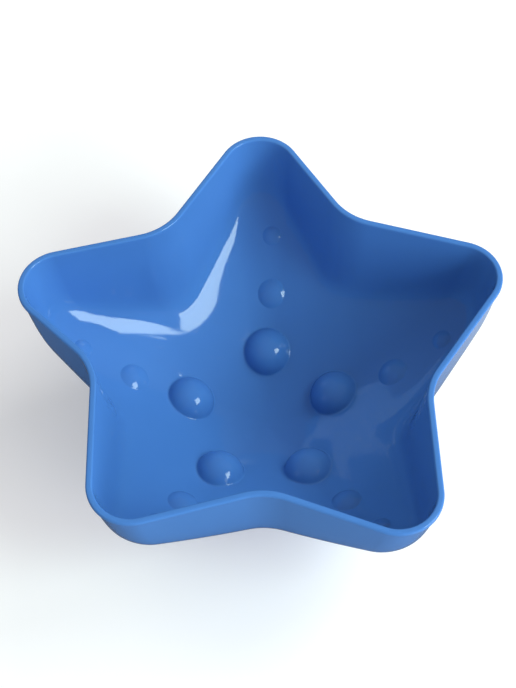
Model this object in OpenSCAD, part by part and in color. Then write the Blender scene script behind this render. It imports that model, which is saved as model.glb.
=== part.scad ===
// Star shaped sand mould, open side up: one thin moulded shell.
// X points to the right, Y to the back, Z up.
// The origin is the middle of the small star shaped flat that the mould rests on.
// The outline is hand drawn, so no two arms are quite alike.

/* [Star outline] */
// Distance from the middle to the sharp point of an arm, before rounding
arm_reach = 88.6; // [70:0.1:110]
// Distance from the middle to the sharp corner of a notch, before rounding
notch_reach = 53.4; // [46:0.1:58]
// Radius that rounds the end of an arm
arm_round = 13.6; // [8:0.1:15]
// Radius that rounds a notch
notch_round = 19.3; // [10:0.1:24]

/* [Bowl] */
// Height from the rest face to the top of the rim
height = 56; // [42:0.5:68]
// Reach of the star shaped flat under the middle of the floor
rest_r = 15.5; // [13:0.5:15.5]
// Slope of the floor out in the arms, in degrees
floor_slope = 29.7; // [22:0.1:34]
// Reach of the round middle of the floor, beyond which it slopes evenly
floor_round = 32; // [32:0.5:38]
// Lean of the wall at a notch, in degrees
notch_lean = 6; // [4:0.5:10]
// Lean of the wall at the end of an arm, in degrees
arm_lean = 11; // [6:0.5:16]
// Size of the soft turn between wall and floor
turn_size = 14; // [8:1:24]

/* [Shell] */
// Thickness of the wall and floor
wall = 1.6; // [1.3:0.1:2.6]
// How far the lip stands out from the wall
lip_out = 0.4; // [0.2:0.1:1]
// Height of the lip
lip_h = 1.5; // [1:0.1:4]
// Radius on the two edges of the rim
rim_edge = 0.6; // [0.3:0.1:0.7]

/* [Bumps] */
// Radius of the ring of big bumps
big_ring_r = 25.3; // [22:0.1:28]
// Radius of the ring of middle bumps
middle_ring_r = 44; // [38:0.1:46]
// Radius of the ring of small bumps
small_ring_r = 61.2; // [54:0.1:62]
// Radius of a big bump where it leaves the floor
big_r = 8.2; // [5:0.1:9]
// Radius of a middle bump where it leaves the floor
middle_r = 5.1; // [3.5:0.1:6]
// Radius of a small bump where it leaves the floor
small_r = 3.3; // [2.2:0.1:3.5]
// Height of a big bump over the floor
big_rise = 6.2; // [3:0.1:7]
// Height of a middle bump over the floor
middle_rise = 1.6; // [1:0.1:4]
// Height of a small bump over the floor
small_rise = 0.9; // [0.6:0.1:2.2]
// Thickness of a bump's skin over its hollow back
bump_wall = 1.2; // [0.9:0.1:1.8]
// Width of the small slope round the foot of a bump
foot = 0.6; // [0.3:0.1:1]

/* [Hidden] */

ARMS = 5;
CORNERS = 2 * ARMS;
STEP = 360 / ARMS;
FIRST = 90;
// Reach of each arm and each notch, as shares, from the back arm anticlockwise
arm_shares = [1.024, 1.005, 0.927, 1.016, 0.99];
notch_shares = [0.957, 1.079, 0.995, 1, 0.988];
// Turn of each arm and each notch away from an even star, in degrees
arm_turns = [0.4, 0.1, -0.2, -0.6, 1];
notch_turns = [1.1, -1.5, 0.3, -2.1, 4.4];
// Reach of each bump as a share of its ring's radius, and its turn away from an even star
// in degrees: one row for each ring, from the big bumps outwards
bump_shares = [
    [1.007, 1.023, 1.019, 0.978, 0.987],
    [0.984, 1.004, 1.026, 1.022, 1.001],
    [0.987, 1, 0.93, 1, 0.995]
];
bump_turns = [
    [-2.5, 3.5, 0.8, -0.7, 1.5],
    [-3.9, 5.5, 0.8, -1.2, -4.5],
    [-3.1, 3.8, 0.5, -0.9, -2.1]
];

// Faces on an arm's end, in a notch and along each straight side between them
ARM_FACES = 9;
NOTCH_FACES = 5;
SIDE_FACES = 2;
// Rings of points down the outside and down the inside of the shell
RINGS = 14;
// Above 1, the rings crowd towards the rim
crowding = 2;
// Faces round a bump of each size, and steps up its dome
bump_sides = [20, 16, 12];
dome_steps = [4, 3, 2];
// How far a hollow runs out past the underside
overrun = wall;

function unit(v) = v / norm(v);
function left_of(v) = [-v.y, v.x];
function direction(a) = [cos(a), sin(a)];

// Sharp corners of the star: an arm, then a notch, and so on round
corners = [for (i = [0:ARMS - 1]) each [
    arm_reach * arm_shares[i] * direction(FIRST + i * STEP + arm_turns[i]),
    notch_reach * notch_shares[i] * direction(FIRST + (i + 1 / 2) * STEP + notch_turns[i])
]];
function corner(k) = corners[(k + CORNERS) % CORNERS];
function along(k) = unit(corner(k + 1) - corner(k));

// Corner k after every side of the star has moved inwards by inset
function inset_corner(k, inset) =
    let (before = left_of(along(k - 1)), middle = unit(before + left_of(along(k))))
    corner(k) + middle * inset / (middle * before);

// The round stretch at corner k, from one side's tangent point to the next side's
function round_stretch(k, inset) =
    let (
        is_arm = k % 2 == 0,
        r = is_arm ? arm_round - inset : notch_round + inset,
        faces = is_arm ? ARM_FACES : NOTCH_FACES,
        hand = is_arm ? 1 : -1,
        into = along(k - 1),
        turn = acos(into * along(k)),
        start = inset_corner(k, inset) - into * r * tan(turn / 2),
        middle = start + hand * r * left_of(into),
        out = start - middle,
        first = atan2(out.y, out.x)
    )
    [for (j = [0:faces]) middle + r * direction(first + hand * turn * j / faces)];

// The whole outline, moved inwards by inset, anticlockwise
function outline(inset) =
    let (stretches = [for (k = [0:CORNERS - 1]) round_stretch(k, inset)])
    [for (k = [0:CORNERS - 1])
        let (now = stretches[k], from = now[len(now) - 1], to = stretches[(k + 1) % CORNERS][0])
        each concat(now, [for (j = [1:SIDE_FACES - 1]) from + (to - from) * j / SIDE_FACES])];

// Top of the wall's outer face, which lies under the lip
wall_line = outline(lip_out);
COUNT = len(wall_line);
reaches = [for (p = wall_line) norm(p)];
near_reach = min(reaches);
far_reach = max(reaches);

// Distance from the middle to the wall line in any direction
function heading(p) = atan2(p.y, p.x);
function turned(a) = let (b = a - heading(wall_line[0])) b - 360 * floor(b / 360);
reach_table = concat([for (p = wall_line) [turned(heading(p)), norm(p)]], [[360, reaches[0]]]);
function reach_at(a) = lookup(turned(a), reach_table);

// Lean of the wall where the wall line lies at the given reach
function lean(reach) =
    notch_lean + (arm_lean - notch_lean) * (reach - near_reach) / (far_reach - near_reach);

// Height of the floor without walls, measured at the underside: level as far as flat, then
// turning up evenly until it slopes. The inside has no flat, so it is round to the middle, and
// both turns end in the same slope.
flat_share = rest_r / far_reach;
round_share = floor_round / far_reach;
function floor_z(r, reach, flat) =
    let (
        start = flat * reach,
        end = round_share * reach - start,
        run = min(max(r, start), end) - start
    )
    tan(floor_slope) * (run * run / (2 * (end - start)) + max(r - end, 0));

// The higher of two heights, with a soft turn of the given size between them
function soft_max(a, b, turn) = (a + b + norm([a - b, turn])) / 2;

// Height of a skin at distance r from the middle, towards a wall line at reach. The outer skin
// has flat_share for its flat. The inner one has 0, and lies a wall's thickness over this.
function skin_z(r, reach, flat) =
    let (
        share = r / reach,
        wall_z = height - (reach - r) / tan(lean(reach)),
        lift = soft_max(height, floor_z(reach, reach, flat), turn_size) - height
    )
    soft_max(wall_z, floor_z(r, reach, flat), turn_size * sqrt(share)) - lift * share * share;

// Point of a skin at column i, at a share of the way from the middle to the wall line
function skin(share, i, flat) =
    let (p = wall_line[(i + COUNT) % COUNT], reach = norm(p))
    [share * p.x, share * p.y, skin_z(share * reach, reach, flat)];

// Direction square to the inner skin, into the bowl
nudge_share = 0.002;
function skin_normal(share, i) = unit(cross(
    skin(share + nudge_share, i, 0) - skin(share - nudge_share, i, 0),
    skin(share, i + 1, 0) - skin(share, i - 1, 0)));

// Shares of the rings of column i, from just under the lip inwards to the last share
function ring_share(j, i, last) =
    let (reach = reaches[i], first = 1 - (lip_h + lip_out) * tan(lean(reach)) / reach)
    first - (first - last) * pow(j / RINGS, crowding);

function level(line, z) = [for (p = line) [p.x, p.y, z]];

// Rings from the flat up the outside, over the rim and down the inside towards the middle
edge_drop = rim_edge * (1 - cos(45));
middle_share = flat_share / 2;
rim_w = lip_out + wall / cos(notch_lean);
rings = concat(
    [level(flat_share * wall_line, 0)],
    [for (j = [RINGS - 1:-1:0]) [for (i = [0:COUNT - 1])
        skin(ring_share(j, i, flat_share), i, flat_share)]],
    [
        level(outline(0), height - lip_h),
        level(outline(0), height - rim_edge),
        level(outline(edge_drop), height - edge_drop),
        level(outline(rim_edge), height),
        level(outline(rim_w - rim_edge), height),
        level(outline(rim_w - edge_drop), height - edge_drop),
        level(outline(rim_w), height - rim_edge)
    ],
    [for (j = [0:RINGS]) [for (i = [0:COUNT - 1])
        let (share = ring_share(j, i, middle_share))
        skin(share, i, 0) + wall * skin_normal(share, i)]]
);

function corner_of(j, i) = j * COUNT + i % COUNT;
side_faces = [for (j = [0:len(rings) - 2]) for (i = [0:COUNT - 1]) each [
    [corner_of(j, i), corner_of(j + 1, i), corner_of(j + 1, i + 1)],
    [corner_of(j, i), corner_of(j + 1, i + 1), corner_of(j, i + 1)]
]];
underside = [for (i = [0:COUNT - 1]) corner_of(0, i)];
middle_faces = [for (i = [0:COUNT - 1]) [
    corner_of(len(rings) - 1, i), COUNT * len(rings), corner_of(len(rings) - 1, i + 1)
]];

// The bowl: outer skin, rim and inner skin in one closed surface
module bowl()
    polyhedron(
        points = [for (ring = rings) each ring, [0, 0, wall]],
        faces = concat(side_faces, middle_faces, [underside])
    );

// Puts its children on the inner floor at distance r from the middle, square to the floor
module on_floor(r, a) {
    reach = reach_at(a);
    nudge = nudge_share * reach;
    slope = atan2(skin_z(r + nudge, reach, 0) - skin_z(r - nudge, reach, 0), 2 * nudge);
    rotate(a)
        translate([r, 0, skin_z(r, reach, 0)])
            rotate([0, -slope, 0])
                translate([0, 0, wall]) children();
}

// Radius of the ball that a bump is a cap of, from its radius and its rise at the floor
function ball_of(r, rise) = (r * r + rise * rise) / (2 * rise);

// The part of a ball over the level low, in steps up to its top; its centre lies at level middle
module cap(ball_r, middle, low, sides, steps) {
    edge_angle = acos((low - middle) / ball_r);
    for (j = [0:steps - 1])
        let (t = edge_angle * (1 - j / steps), next = edge_angle * (1 - (j + 1) / steps))
        translate([0, 0, middle + ball_r * cos(t)])
            cylinder(
                h = ball_r * (cos(next) - cos(t)),
                r1 = ball_r * sin(t),
                r2 = ball_r * sin(next),
                $fn = sides
            );
}

// A bump's outside, standing a little way down in the floor, with a slope round its foot
module dome(r, rise, sides, steps) {
    ball_r = ball_of(r, rise);
    hull() {
        cap(ball_r, rise - ball_r, 0, sides, steps);
        translate([0, 0, -wall / 2]) cylinder(h = wall / 2, r = r, $fn = sides);
    }
    translate([0, 0, -foot]) cylinder(h = 2 * foot, r1 = r + foot, r2 = r - foot, $fn = sides);
}

// A bump's hollow back: a smaller ball with the same centre, open to the underside
module hollow(r, rise, sides, steps) {
    ball_r = ball_of(r, rise);
    middle = rise - ball_r;
    hollow_r = ball_r - bump_wall;
    low = max(-wall, middle);
    mouth_r = hollow_r * sin(acos((low - middle) / hollow_r));
    hull() {
        cap(hollow_r, middle, low, sides, steps);
        translate([0, 0, -wall - overrun]) cylinder(h = wall, r = mouth_r, $fn = sides);
    }
}

ring_radii = [big_ring_r, middle_ring_r, small_ring_r];
bump_radii = [big_r, middle_r, small_r];
rises = [big_rise, middle_rise, small_rise];
RING_LIST = [0:len(ring_radii) - 1];

// Puts its children at bump i of ring k
module at_bump(k, i)
    on_floor(ring_radii[k] * bump_shares[k][i], FIRST + i * STEP + bump_turns[k][i])
        children();

module mould_shell() color([0.2, 0.45, 0.8]) difference() {
    union() {
        bowl();
        for (i = [0:ARMS - 1], k = RING_LIST)
            at_bump(k, i) dome(bump_radii[k], rises[k], bump_sides[k], dome_steps[k]);
    }
    for (i = [0:ARMS - 1], k = RING_LIST)
        at_bump(k, i) hollow(bump_radii[k], rises[k], bump_sides[k], dome_steps[k]);
}

mould_shell();
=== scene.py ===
"""Star shaped sand mould in glossy blue plastic, open side up, on a pale floor.

The mould is one moulded shell. Its CAD solid is faceted, so a fine mesh of the same kind of form
stands for it, with round bumps that blend into the floor. Outline, floor and walls follow the
photo more closely than the solid does, most of all at the front left notch, which lies up to
5.7 mm too far out in the solid.
Lengths are in metres. X points to the right, Y to the back, Z up.
"""
import math

import bpy
import numpy as np
from mathutils import Matrix, Vector
from mathutils.geometry import delaunay_2d_cdt


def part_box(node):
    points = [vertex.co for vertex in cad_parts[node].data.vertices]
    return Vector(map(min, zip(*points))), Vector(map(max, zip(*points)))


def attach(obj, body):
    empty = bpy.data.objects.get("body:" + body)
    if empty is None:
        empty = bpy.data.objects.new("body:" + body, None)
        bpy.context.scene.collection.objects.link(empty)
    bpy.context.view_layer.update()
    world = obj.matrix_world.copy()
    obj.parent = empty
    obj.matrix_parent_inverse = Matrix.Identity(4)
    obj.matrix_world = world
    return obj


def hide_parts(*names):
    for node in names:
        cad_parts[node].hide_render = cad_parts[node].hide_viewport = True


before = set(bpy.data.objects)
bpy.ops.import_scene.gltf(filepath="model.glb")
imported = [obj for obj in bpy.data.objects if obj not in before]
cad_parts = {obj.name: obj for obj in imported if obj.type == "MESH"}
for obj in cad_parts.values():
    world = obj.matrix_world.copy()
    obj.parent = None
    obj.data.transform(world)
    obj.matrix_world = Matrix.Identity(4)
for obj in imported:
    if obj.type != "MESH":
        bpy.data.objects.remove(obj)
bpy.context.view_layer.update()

MM = 0.001

# Star outline: reach of the sharp corners and how they are rounded. Shares and turns are the
# small irregularities of each arm and notch, anticlockwise from the back arm.
ARM_REACH = 88.6 * MM
NOTCH_REACH = 53.4 * MM
ARM_ROUND = 13.4 * MM
NOTCH_ROUND = 18.5 * MM
ARMS = 5
STEP = math.tau / ARMS
FIRST = math.radians(90)
ARM_SHARES = (1.02, 1.053, 0.944, 1.013, 0.988)
NOTCH_SHARES = (0.956, 0.983, 0.996, 1.001, 0.989)
ARM_TURNS = np.radians((0.4, 1.2, -1.3, -0.6, 1.1))
NOTCH_TURNS = np.radians((1.5, -7.3, 0.4, -2.1, 4.3))

# Bowl and shell. The floor turns up from the small flat that the mould stands on until it slopes,
# and runs in a soft turn into the leaning wall. Slope, turn and lean each change from the notches
# to the ends of the arms.
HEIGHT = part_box("mould_shell")[1][2]
REST_R = 15.5 * MM
FLOOR_ROUND = 32 * MM
FLOOR_SLOPE = math.radians(28.7)
NOTCH_SLOPE = math.radians(27.4)
TURN_SIZE = 15.2 * MM
NOTCH_TURN = 19.5 * MM
ARM_BLEND = 0.82  # power of the change of slope and turn: below 1, most of it is near the notches
STEEPEN = 0.23  # share by which the floor gets steeper still, from FLOOR_ROUND to the wall
NOTCH_LEAN = math.radians(5.9)
ARM_LEAN = math.radians(8.5)
WALL = 1.6 * MM
LIP_OUT = 0.4 * MM
LIP_H = 1.5 * MM
RIM_EDGE = 0.6 * MM
STEP_ROUND = 0.3 * MM
# The smooth outline lies this far inside its nominal line, to stay within the box of the CAD's
# faceted one
TRIM = 0.13 * MM

# Bumps: radius of their ring, their own radius and their height over the floor
BUMP_RINGS = ((25.3 * MM, 8.2 * MM, 6.2 * MM), (44 * MM, 5.1 * MM, 1.6 * MM),
              (61.2 * MM, 3.3 * MM, 0.9 * MM))
BUMP_SHARES = ((1.007, 1.023, 1.019, 0.978, 0.987), (0.984, 1.004, 1.026, 1.022, 1.001),
               (0.987, 1, 0.93, 1, 0.995))
BUMP_TURNS = np.radians(((-2.5, 3.5, 0.8, -0.7, 1.5), (-3.9, 5.5, 0.8, -1.2, -4.5),
                         (-3.1, 3.8, 0.5, -0.9, -2.1)))
BUMP_WALL = 1.2 * MM
FOOT_ROUND = 0.7 * MM
BACK_ROUND = 0.8 * MM

# Fineness of the mesh. The floor's grid runs out to FLOOR_SHARE of the reach, and the wall's rings
# from there.
ARM_FACES = 24
NOTCH_FACES = 12
SIDE_FACES = 18
WALL_RINGS = 40
WALL_STEPS = 241
FLOOR_SHARE = 0.88
FLOOR_GRID = 1.7 * MM
BUMP_SIDES = (48, 40, 32)
BACK_SIDES = (40, 32, 24)
BALL_RINGS = 12
BLEND_RINGS = 6
STEP_POINTS = 5
EDGE_POINTS = 7
FOOT_ROUNDS = 5
PLAN_ROUNDS = 8
NUDGE = 0.01 * MM
SAME_HEADING = 1e-9
MERGE_WITHIN = 1e-6

# Plastic: two shades of the flow marks, gloss and relief
DARK_BLUE = (0.055, 0.183, 0.5, 1)
LIGHT_BLUE = (0.063, 0.202, 0.54, 1)
PLASTIC_IOR = 1.49
SMOOTH, DULL, SCRATCH_DULL = 0.03, 0.07, 0.12
WAVE_STRENGTH, WAVE_DEPTH = 0.03, 0.4 * MM
SCRATCH_STRENGTH, SCRATCH_DEPTH = 0.1, 0.05 * MM

# Lamps: name, azimuth and elevation in degrees, side, power, colour and turn about their own axis.
# The window is the one that the plastic mirrors.
WHITE = (1, 1, 1)
LAMP_DISTANCE = 1.5
WINDOW = ("window", -19.7, 41.1, 0.6, 10, (0.8, 1, 0.96), 57.4)
SOFT_LAMPS = (("soft_front", -45, 22, 0.8, 13, WHITE, 0), ("soft_right", 30, 45, 0.8, 9, WHITE, 0))

# Ground and room. The plastic mirrors the ground with painted shade, darker than its own colour,
# that turns into painted light to the right of the mould, between the two x values below.
FLOOR_HALF = 3.0
PAPER = 0.8
PAPER_GLOW = 0.23
PAINTED_SHADE_IN_GLOSS, PAINTED_LIGHT_IN_GLOSS = 0.16, 0.7
PAINTED_LIGHT_FROM, PAINTED_LIGHT_TO = 55 * MM, 110 * MM
ROOM, ROOM_MIRRORED = 0.5, 0.14

# Camera, fitted to both edges of the rim
CAMERA_AZIMUTH, CAMERA_ELEVATION, CAMERA_ROLL = (math.radians(a) for a in (-1.28, 57.57, 1.83))
CAMERA_PLACE = (0.0041, -0.2465, 0.3831 + HEIGHT)
SENSOR, LENS = 36, 78.98


def unit(v):
    return v / np.linalg.norm(v, axis=-1, keepdims=True)


def direction(a):
    return np.stack([np.cos(a), np.sin(a)], -1)


def star_corners():
    """Sharp corners of the star: an arm, then a notch, and so on round."""
    corners = []
    for i in range(ARMS):
        corners.append(ARM_REACH * ARM_SHARES[i] * direction(FIRST + i * STEP + ARM_TURNS[i]))
        turned = FIRST + (i + 0.5) * STEP + NOTCH_TURNS[i]
        corners.append(NOTCH_REACH * NOTCH_SHARES[i] * direction(turned))
    return np.array(corners)


def star_arcs(inset):
    """The rounded corners, after the outline has moved inwards by inset."""
    inset = inset + TRIM
    corners = star_corners()
    count = len(corners)
    along = unit(np.roll(corners, -1, 0) - corners)
    left = np.stack([-along[:, 1], along[:, 0]], -1)
    arcs = []
    for k in range(count):
        is_arm = k % 2 == 0
        radius = ARM_ROUND - inset if is_arm else NOTCH_ROUND + inset
        hand = 1 if is_arm else -1
        into, before = along[k - 1], left[k - 1]
        middle = unit(before + left[k])
        sharp = corners[k] + middle * inset / (middle @ before)
        turn = math.acos(into @ along[k])
        start = sharp - into * radius * math.tan(turn / 2)
        centre = start + hand * radius * before
        first = math.atan2(*(start - centre)[::-1])
        arcs.append((centre, radius, first, hand * turn))
    return arcs


def arc_point(arc, share):
    centre, radius, first, turn = arc
    return centre + radius * direction(first + turn * share)


def outline(inset):
    """Points of the outline, anticlockwise: the same number for every inset."""
    arcs = star_arcs(inset)
    points = []
    for k, arc in enumerate(arcs):
        faces = ARM_FACES if k % 2 == 0 else NOTCH_FACES
        points += [arc_point(arc, j / faces) for j in range(faces + 1)]
        end, start = arc_point(arc, 1), arc_point(arcs[(k + 1) % len(arcs)], 0)
        points += [end + (start - end) * j / SIDE_FACES for j in range(1, SIDE_FACES)]
    return np.array(points)


WALL_LINE = outline(LIP_OUT)
COLUMNS = len(WALL_LINE)
START = math.atan2(WALL_LINE[0][1], WALL_LINE[0][0])
NEAR_REACH = np.linalg.norm(WALL_LINE, axis=1).min()
FAR_REACH = np.linalg.norm(WALL_LINE, axis=1).max()
FLAT_SHARE = REST_R / FAR_REACH
ROUND_SHARE = FLOOR_ROUND / FAR_REACH


def heading(p):
    """Direction of each point, counted anticlockwise from the first column."""
    turned = (np.arctan2(p[..., 1], p[..., 0]) - START) % math.tau
    return np.where(turned > math.tau - SAME_HEADING, 0, turned)


def wall_pieces():
    """The wall line's arcs and straight sides, each with the headings where it starts and ends."""
    arcs = star_arcs(LIP_OUT)
    pieces = []
    for k, arc in enumerate(arcs):
        start, end = arc_point(arc, 0), arc_point(arc, 1)
        following = arc_point(arcs[(k + 1) % len(arcs)], 0)
        last = float(heading(following)) or math.tau
        side = unit(following - end)
        pieces.append((float(heading(start)), float(heading(end)), "arc", arc))
        pieces.append((float(heading(end)), last, "side", (end, np.array([side[1], -side[0]]))))
    return pieces


WALL_PIECES = wall_pieces()


def reach_of(p):
    """Distance from the middle to the wall line, in the direction of each point."""
    turned = heading(p)
    u = direction(turned + START)
    reach = np.zeros(turned.shape)
    for low, high, kind, shape in WALL_PIECES:
        here = (turned >= low) & (turned <= high)
        if kind == "arc":
            centre, radius, _, turn = shape
            across = u[here] @ centre
            half = np.sqrt(np.maximum(radius ** 2 - centre @ centre + across ** 2, 0))
            reach[here] = across + math.copysign(1, turn) * half
        else:
            end, square = shape
            reach[here] = (end @ square) / (u[here] @ square)
    return reach


def soft_max(a, b, turn):
    """The higher of two heights, with a soft turn between them."""
    return (a + b + np.hypot(a - b, turn)) / 2


def between(notch, arm, reach):
    """A value that runs from its size at the nearest notch to its size at the longest arm."""
    share = (reach - NEAR_REACH) / (FAR_REACH - NEAR_REACH)
    return notch + (arm - notch) * np.clip(share, 0, 1) ** ARM_BLEND


def floor_height(r, reach, flat):
    """The floor without walls: level as far as flat, then turning up evenly until it slopes, and
    a little steeper on its way out."""
    start = flat * reach
    end = ROUND_SHARE * reach - start
    run = np.clip(r, start, end) - start
    out = np.maximum(r - ROUND_SHARE * reach, 0) ** 2 / (2 * (1 - ROUND_SHARE) * reach)
    slope = np.tan(between(NOTCH_SLOPE, FLOOR_SLOPE, reach))
    return slope * (run ** 2 / (2 * (end - start)) + np.maximum(r - end, 0) + STEEPEN * out)


def skin_height(p, depth):
    """Height over each point of the plan, before the depth is added. Only the outer skin has
    a flat to stand on; the inner one is round to the middle."""
    flat = 0 if depth else FLAT_SHARE
    r = np.maximum(np.linalg.norm(p, axis=-1), NUDGE)
    reach = reach_of(p)
    share = r / reach
    lean = NOTCH_LEAN + (ARM_LEAN - NOTCH_LEAN) * (reach - NEAR_REACH) / (FAR_REACH - NEAR_REACH)
    wall = HEIGHT - (reach - r) / np.tan(lean)
    turn = between(NOTCH_TURN, TURN_SIZE, reach)
    lift = soft_max(HEIGHT, floor_height(reach, reach, flat), turn) - HEIGHT
    height = soft_max(wall, floor_height(r, reach, flat), turn * np.sqrt(share)) - lift * share ** 2
    return np.maximum(height, 0)


def skin_normal(p, depth):
    """Direction square to the skin, into the bowl."""
    dx, dy = np.array([NUDGE, 0]), np.array([0, NUDGE])
    slope_x = (skin_height(p + dx, depth) - skin_height(p - dx, depth)) / (2 * NUDGE)
    slope_y = (skin_height(p + dy, depth) - skin_height(p - dy, depth)) / (2 * NUDGE)
    return unit(np.stack([-slope_x, -slope_y, np.ones_like(slope_x)], -1))


def skin(p, depth):
    """The outer skin, or the inner one at the given depth into the bowl."""
    base = np.concatenate([p, skin_height(p, depth)[..., None]], -1)
    return base + depth * skin_normal(p, depth)


class Surface:
    """Vertices with their normals, and faces, gathered piece by piece."""

    def __init__(self):
        self.points, self.normals, self.faces = [], [], []

    def add(self, points, normals=None):
        """Adds vertices and returns their numbers. With no normals, Blender works them out."""
        first = len(self.points)
        self.points += [tuple(p) for p in points]
        self.normals += [tuple(n) for n in (np.zeros_like(points) if normals is None else normals)]
        return np.arange(first, len(self.points))

    def band(self, low, high, flip=False):
        """Quads between two closed rings of vertices."""
        count = len(low)
        for i in range(count):
            j = (i + 1) % count
            face = (low[i], low[j], high[j], high[i])
            self.faces.append(face[::-1] if flip else face)

    def fan(self, ring, middle, flip=False):
        """Triangles between a closed ring and a point."""
        for i in range(len(ring)):
            face = (ring[i], ring[(i + 1) % len(ring)], middle)
            self.faces.append(face[::-1] if flip else face)


class Bump:
    """One bump, or its hollow back, seated square on the skin at the given depth: the cap of a
    ball, with a round blend all round into the skin as it really runs there."""

    def __init__(self, middle, depth, ball_r, ball_z, blend_r, sides):
        self.depth = depth
        self.origin = skin(middle, depth)
        self.up = skin_normal(middle, depth)
        across = np.array([middle[0], middle[1], 0.0])
        self.t1 = unit(across - (across @ self.up) * self.up)
        self.t2 = np.cross(self.up, self.t1)
        self.around = math.tau * np.arange(sides) / sides
        self.middle = middle
        dx, dy = np.array([NUDGE, 0]), np.array([0, NUDGE])
        change = np.stack([self.flat(middle + dx) - self.flat(middle - dx),
                           self.flat(middle + dy) - self.flat(middle - dy)], -1) / (2 * NUDGE)
        self.back = np.linalg.inv(change)
        self.top = ball_z + ball_r
        reach = ball_r + blend_r
        foot = np.full(sides, math.sqrt(reach ** 2 - min(ball_z - blend_r, 0) ** 2))
        for _ in range(FOOT_ROUNDS):
            low = self.rise(foot)
            tilt = np.arctan2(self.rise(foot + NUDGE) - low, NUDGE)
            over = foot * np.sin(tilt) + (ball_z - low) * np.cos(tilt)
            edge = np.arccos(np.clip((blend_r - over) / reach, 0, 1))
            run = (ball_z - low) * np.sin(tilt) - foot * np.cos(tilt) + reach * np.sin(edge)
            foot = foot + run * np.cos(tilt)
        self.foot = foot
        ball = np.linspace(0, 1, BALL_RINGS + 1)[1:, None] * np.maximum(edge - tilt, 0)
        blend = np.linspace(1, 0, BLEND_RINGS + 1)[1:, None] * edge
        self.radii = np.concatenate([ball_r * np.sin(ball), foot + blend_r * (
            np.sin(tilt) * (np.cos(blend) - 1) - np.cos(tilt) * np.sin(blend))])
        self.heights = np.concatenate([ball_z + ball_r * np.cos(ball), self.rise(foot) + blend_r * (
            np.cos(tilt) * (1 - np.cos(blend)) - np.sin(tilt) * np.sin(blend))])

    def flat(self, p):
        """Place of the skin over p, in the bump's own level plane."""
        off = skin(p, self.depth) - self.origin
        return np.stack([off @ self.t1, off @ self.t2], -1)

    def plan(self, radii):
        """Points of the plan under a loop at the given distances from the bump's axis."""
        target = radii[:, None] * direction(self.around)
        p = self.middle + target @ self.back.T
        for _ in range(PLAN_ROUNDS):
            p = p + (target - self.flat(p)) @ self.back.T
        return p

    def rise(self, radii):
        """Height of the skin over the bump's level plane, at a distance from the axis each way."""
        return (skin(self.plan(radii), self.depth) - self.origin) @ self.up

    def edge(self):
        """The plan of the loop where the blend meets the skin."""
        return self.plan(self.foot)

    def fill(self, surface, ring, flip):
        """Adds the cap inside its edge ring of vertices."""
        around = self.radii[..., None] * direction(self.around)
        circles = (self.origin + around[..., :1] * self.t1 + around[..., 1:] * self.t2
                   + self.heights[..., None] * self.up)
        for points in circles[-2::-1]:
            inner = surface.add(points)
            surface.band(inner, ring, not flip)
            ring = inner
        top = surface.add((self.origin + self.top * self.up)[None])[0]
        surface.fan(ring, top, flip)


def bumps(depth, shrink, blend_r, sides):
    """All the bumps on one skin. The outer skin has their hollow backs, smaller by shrink."""
    made = []
    for k, (ring_r, r, rise) in enumerate(BUMP_RINGS):
        ball_r = (r ** 2 + rise ** 2) / (2 * rise)
        ball_z = rise - ball_r + (WALL - depth)
        for i in range(ARMS):
            turned = FIRST + i * STEP + BUMP_TURNS[k][i]
            middle = ring_r * BUMP_SHARES[k][i] * direction(turned)
            made.append(Bump(middle, depth, ball_r - shrink, ball_z, blend_r, sides[k]))
    return made


def grid_points(caps):
    """An even grid of points over the floor, clear of the caps and the border."""
    span = np.arange(-FAR_REACH, FAR_REACH, FLOOR_GRID)
    x, y = np.meshgrid(span, span * math.sqrt(3) / 2)
    x = x + FLOOR_GRID / 2 * (np.arange(len(span)) % 2)[:, None]
    p = np.stack([x.ravel(), y.ravel()], -1)
    keep = np.linalg.norm(p, axis=1) < reach_of(p) * FLOOR_SHARE - FLOOR_GRID / 2
    for cap in caps:
        loop = cap.edge()
        widest = np.linalg.norm(loop - cap.middle, axis=1).max()
        near = np.linalg.norm(p - cap.middle, axis=1) < widest + FLOOR_GRID / 2
        keep &= ~near
    return p[keep]


def inside(p, loop):
    """Whether each point lies inside a convex loop."""
    a, b = loop, np.roll(loop, -1, 0)
    side = (b - a)[None]
    off = p[:, None] - a[None]
    return (side[..., 0] * off[..., 1] - side[..., 1] * off[..., 0] > 0).all(1)


def lay_floor(surface, depth, caps, flip):
    """Lays the floor of one skin with its caps, and returns the ring of vertices at its border."""
    border = WALL_LINE * FLOOR_SHARE
    loops = [border] + [cap.edge() for cap in caps]
    plan = np.concatenate(loops + [grid_points(caps)])
    numbers = surface.add(skin(plan, depth), skin_normal(plan, depth) * (-1 if flip else 1))
    edges, rings, first = [], [], 0
    for loop in loops:
        ring = np.arange(first, first + len(loop))
        edges += [(int(a), int(b)) for a, b in zip(ring, np.roll(ring, -1))]
        rings.append(numbers[ring])
        first += len(loop)
    laid = delaunay_2d_cdt([Vector(p / MM) for p in plan], edges, [], 0, MERGE_WITHIN)
    if len(laid[0]) != len(plan):
        raise ValueError("the floor's points don't stay apart")
    faces = np.array(laid[2])
    middles = plan[faces].mean(1)
    keep = np.linalg.norm(middles, axis=1) < reach_of(middles) * FLOOR_SHARE
    for loop in loops[1:]:
        keep &= ~inside(middles, loop)
    for face in faces[keep]:
        a, b, c = plan[face]
        left = (b - a)[0] * (c - a)[1] - (b - a)[1] * (c - a)[0] > 0
        face = numbers[face]
        surface.faces.append(tuple(face if left != flip else face[::-1]))
    for cap, ring in zip(caps, rings[1:]):
        cap.fill(surface, ring, flip)
    return rings[0]


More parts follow.
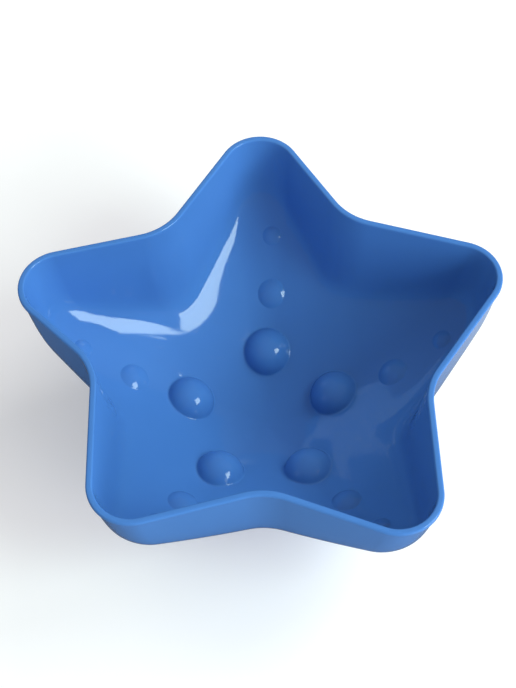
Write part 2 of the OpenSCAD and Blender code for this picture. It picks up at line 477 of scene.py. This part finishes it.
def wall_rings(depth, top):
    """Rings of points up the wall, spaced evenly along each column, up to the height top."""
    shares = np.linspace(FLOOR_SHARE, 1, WALL_STEPS)
    plans = shares[:, None, None] * WALL_LINE[None]
    points = skin(plans, depth)
    normals = skin_normal(plans, depth)
    rings = np.zeros((WALL_RINGS, COLUMNS, 3))
    squares = np.zeros((WALL_RINGS, COLUMNS, 3))
    for i in range(COLUMNS):
        column = points[:, i]
        run = np.concatenate([[0], np.cumsum(np.linalg.norm(np.diff(column, axis=0), axis=1))])
        end = np.interp(top, column[:, 2], run)
        at = np.linspace(0, end, WALL_RINGS + 1)[1:]
        for axis in range(3):
            rings[:, i, axis] = np.interp(at, run, column[:, axis])
            squares[:, i, axis] = np.interp(at, run, normals[:, i, axis])
    return rings, unit(squares)


def rim_section():
    """Cross-section of the lip, from its lower outer corner over the top: inset and height."""
    points = []
    width = LIP_OUT + WALL / math.cos(NOTCH_LEAN)
    for t in np.linspace(math.pi / 2, 0, STEP_POINTS):
        points.append((STEP_ROUND * (1 - math.sin(math.pi / 2 - t)),
                       HEIGHT - LIP_H + STEP_ROUND * (1 - math.sin(t))))
    for t in np.linspace(0, math.pi / 2, EDGE_POINTS):
        points.append((RIM_EDGE * (1 - math.cos(t)), HEIGHT - RIM_EDGE * (1 - math.sin(t))))
    for t in np.linspace(math.pi / 2, 0, EDGE_POINTS):
        points.append((width - RIM_EDGE * (1 - math.cos(t)), HEIGHT - RIM_EDGE * (1 - math.sin(t))))
    return points


def make_shell():
    """The whole mould: inner and outer skin, joined by the lip."""
    surface = Surface()
    inner_floor = lay_floor(surface, WALL, bumps(WALL, 0, FOOT_ROUND, BUMP_SIDES), False)
    outer_floor = lay_floor(surface, 0, bumps(0, BUMP_WALL, BACK_ROUND, BACK_SIDES), True)

    outer = outer_floor
    rings, squares = wall_rings(0, HEIGHT - LIP_H - STEP_ROUND)
    for points, normals in zip(rings, squares):
        ring = surface.add(points, -normals)
        surface.band(outer, ring)
        outer = ring
    for inset, z in rim_section():
        line = outline(inset)
        ring = surface.add(np.column_stack([line, np.full(COLUMNS, z)]))
        surface.band(outer, ring)
        outer = ring

    inner = inner_floor
    rings, squares = wall_rings(WALL, HEIGHT - 2 * RIM_EDGE)
    for points, normals in zip(rings, squares):
        ring = surface.add(points, normals)
        surface.band(inner, ring, True)
        inner = ring
    surface.band(inner, outer, True)

    mesh = bpy.data.meshes.new("star_mould")
    mesh.from_pydata(surface.points, [], [tuple(int(v) for v in f) for f in surface.faces])
    mesh.polygons.foreach_set("use_smooth", [True] * len(mesh.polygons))
    mesh.normals_split_custom_set_from_vertices(surface.normals)
    mesh.update()
    shell = bpy.data.objects.new("star_mould", mesh)
    bpy.context.scene.collection.objects.link(shell)
    return shell


def plastic():
    """Glossy blue moulded plastic: faint flow marks in the colour, a slightly uneven gloss, a
    barely wavy surface and a few hair scratches."""
    material = bpy.data.materials.new("blue_plastic")
    material.use_nodes = True
    nodes, links = material.node_tree.nodes, material.node_tree.links
    shader = nodes["Principled BSDF"]
    shader.inputs["IOR"].default_value = PLASTIC_IOR
    place = nodes.new("ShaderNodeTexCoord").outputs["Object"]

    def noise(scale, detail, stretch=(1, 1, 1), turn=0):
        mapping = nodes.new("ShaderNodeMapping")
        mapping.inputs["Scale"].default_value = stretch
        mapping.inputs["Rotation"].default_value = (0, 0, turn)
        links.new(place, mapping.inputs["Vector"])
        texture = nodes.new("ShaderNodeTexNoise")
        texture.inputs["Scale"].default_value = scale
        texture.inputs["Detail"].default_value = detail
        links.new(mapping.outputs["Vector"], texture.inputs["Vector"])
        return texture.outputs["Fac"]

    def remap(value, low, high, to_low, to_high):
        node = nodes.new("ShaderNodeMapRange")
        node.inputs["From Min"].default_value = low
        node.inputs["From Max"].default_value = high
        node.inputs["To Min"].default_value = to_low
        node.inputs["To Max"].default_value = to_high
        links.new(value, node.inputs["Value"])
        return node.outputs["Result"]

    def combine(kind, a, b):
        node = nodes.new("ShaderNodeMath")
        node.operation = kind
        links.new(a, node.inputs[0])
        links.new(b, node.inputs[1])
        return node.outputs[0]

    flow = nodes.new("ShaderNodeValToRGB")
    flow.color_ramp.elements[0].position = 0.34
    flow.color_ramp.elements[0].color = DARK_BLUE
    flow.color_ramp.elements[1].position = 0.66
    flow.color_ramp.elements[1].color = LIGHT_BLUE
    links.new(noise(22, 4, (1, 1, 0.6)), flow.inputs["Fac"])
    links.new(flow.outputs["Color"], shader.inputs["Base Color"])

    scratches = combine("MAXIMUM",
                        remap(noise(60, 2, (1, 14, 1), 0.5), 0.68, 0.74, 0, 1),
                        remap(noise(70, 2, (1, 14, 1), 2.1), 0.69, 0.75, 0, 1))
    gloss = combine("ADD", remap(noise(45, 5), 0.3, 0.7, SMOOTH, DULL),
                    remap(scratches, 0, 1, 0, SCRATCH_DULL))
    links.new(gloss, shader.inputs["Roughness"])

    wavy = nodes.new("ShaderNodeBump")
    wavy.inputs["Strength"].default_value = WAVE_STRENGTH
    wavy.inputs["Distance"].default_value = WAVE_DEPTH
    links.new(noise(70, 3), wavy.inputs["Height"])
    scored = nodes.new("ShaderNodeBump")
    scored.inputs["Strength"].default_value = SCRATCH_STRENGTH
    scored.inputs["Distance"].default_value = SCRATCH_DEPTH
    scored.invert = True
    links.new(scratches, scored.inputs["Height"])
    links.new(wavy.outputs["Normal"], scored.inputs["Normal"])
    links.new(scored.outputs["Normal"], shader.inputs["Normal"])
    return material


def area_light(name, azimuth, elevation, size, power, colour, spin):
    """A square soft light that faces the middle of the mould. Angles are in degrees."""
    azimuth, elevation = math.radians(azimuth), math.radians(elevation)
    data = bpy.data.lights.new(name, "AREA")
    data.shape = "SQUARE"
    data.size = size
    data.energy = power
    data.color = colour
    light = bpy.data.objects.new(name, data)
    away = Vector((math.cos(elevation) * math.cos(azimuth), math.cos(elevation) * math.sin(azimuth),
                   math.sin(elevation)))
    turn = (away.to_track_quat("Z", "Y").to_matrix().to_4x4()
            @ Matrix.Rotation(math.radians(spin), 4, "Z"))
    light.matrix_world = Matrix.Translation(away * LAMP_DISTANCE) @ turn
    bpy.context.scene.collection.objects.link(light)
    return light


def make_floor():
    """A white ground that keeps the mould's shadow. The plastic mirrors it with painted shade,
    darker than it is, except to the right of the mould, where painted light stands for the light
    that falls in."""
    mesh = bpy.data.meshes.new("floor")
    corners = ((-1, -1), (1, -1), (1, 1), (-1, 1))
    mesh.from_pydata([(x * FLOOR_HALF, y * FLOOR_HALF, 0) for x, y in corners], [], [(0, 1, 2, 3)])
    floor = bpy.data.objects.new("floor", mesh)
    bpy.context.scene.collection.objects.link(floor)
    material = bpy.data.materials.new("floor")
    material.use_nodes = True
    nodes, links = material.node_tree.nodes, material.node_tree.links
    nodes.clear()
    out = nodes.new("ShaderNodeOutputMaterial")
    add = nodes.new("ShaderNodeAddShader")
    path = nodes.new("ShaderNodeLightPath")
    paper_and_painted_reflection = nodes.new("ShaderNodeMix")
    paper_and_painted_reflection.data_type = "RGBA"
    paper_and_painted_reflection.inputs["A"].default_value = (PAPER, PAPER, PAPER, 1)
    place = nodes.new("ShaderNodeTexCoord")
    split = nodes.new("ShaderNodeSeparateXYZ")
    links.new(place.outputs["Object"], split.inputs["Vector"])
    # painted reflection of the ground: painted shade on the left, painted light to the right of the
    # mould
    painted_reflection = nodes.new("ShaderNodeMapRange")
    painted_reflection.inputs["From Min"].default_value = PAINTED_LIGHT_FROM
    painted_reflection.inputs["From Max"].default_value = PAINTED_LIGHT_TO
    painted_reflection.inputs["To Min"].default_value = PAINTED_SHADE_IN_GLOSS
    painted_reflection.inputs["To Max"].default_value = PAINTED_LIGHT_IN_GLOSS
    links.new(split.outputs["X"], painted_reflection.inputs["Value"])
    links.new(painted_reflection.outputs["Result"], paper_and_painted_reflection.inputs["B"])
    links.new(path.outputs["Is Glossy Ray"], paper_and_painted_reflection.inputs["Factor"])
    diffuse = nodes.new("ShaderNodeBsdfDiffuse")
    links.new(paper_and_painted_reflection.outputs["Result"], diffuse.inputs["Color"])
    glow = nodes.new("ShaderNodeEmission")
    scale = nodes.new("ShaderNodeMath")
    scale.operation = "MULTIPLY"
    scale.inputs[1].default_value = PAPER_GLOW
    links.new(path.outputs["Is Camera Ray"], scale.inputs[0])
    links.new(scale.outputs[0], glow.inputs["Strength"])
    links.new(diffuse.outputs[0], add.inputs[0])
    links.new(glow.outputs[0], add.inputs[1])
    links.new(add.outputs[0], out.inputs["Surface"])
    mesh.materials.append(material)


def make_world():
    """Even soft light from a pale room, dimmer where the plastic mirrors it."""
    world = bpy.data.worlds.new("studio")
    bpy.context.scene.world = world
    world.use_nodes = True
    nodes, links = world.node_tree.nodes, world.node_tree.links
    path = nodes.new("ShaderNodeLightPath")
    strength = nodes.new("ShaderNodeMapRange")
    strength.inputs["To Min"].default_value = ROOM
    strength.inputs["To Max"].default_value = ROOM_MIRRORED
    links.new(path.outputs["Is Glossy Ray"], strength.inputs["Value"])
    links.new(strength.outputs["Result"], nodes["Background"].inputs["Strength"])
    nodes["Background"].inputs["Color"].default_value = (1, 1, 1, 1)


def make_camera():
    """A long lens at the photograph's viewing angle."""
    data = bpy.data.cameras.new("camera")
    data.sensor_width = SENSOR
    data.lens = LENS
    camera = bpy.data.objects.new("camera", data)
    bpy.context.scene.collection.objects.link(camera)
    level = Vector((1, 0, 0))
    above = Vector((0, math.sin(CAMERA_ELEVATION), math.cos(CAMERA_ELEVATION)))
    ahead = Vector((0, math.cos(CAMERA_ELEVATION), -math.sin(CAMERA_ELEVATION)))
    right = math.cos(CAMERA_ROLL) * level - math.sin(CAMERA_ROLL) * above
    up = math.sin(CAMERA_ROLL) * level + math.cos(CAMERA_ROLL) * above
    axes = Matrix((right, up, -ahead)).transposed()
    camera.matrix_world = (Matrix.Translation(CAMERA_PLACE)
                           @ (Matrix.Rotation(-CAMERA_AZIMUTH, 3, "Z") @ axes).to_4x4())
    bpy.context.scene.camera = camera


make_camera()
make_world()
make_floor()
area_light(*WINDOW)
for lamp in SOFT_LAMPS:
    area_light(*lamp).visible_glossy = False
shell = make_shell()
shell.data.materials.append(plastic())
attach(shell, "root")
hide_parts("mould_shell")

bpy.context.scene.view_settings.view_transform = "Standard"
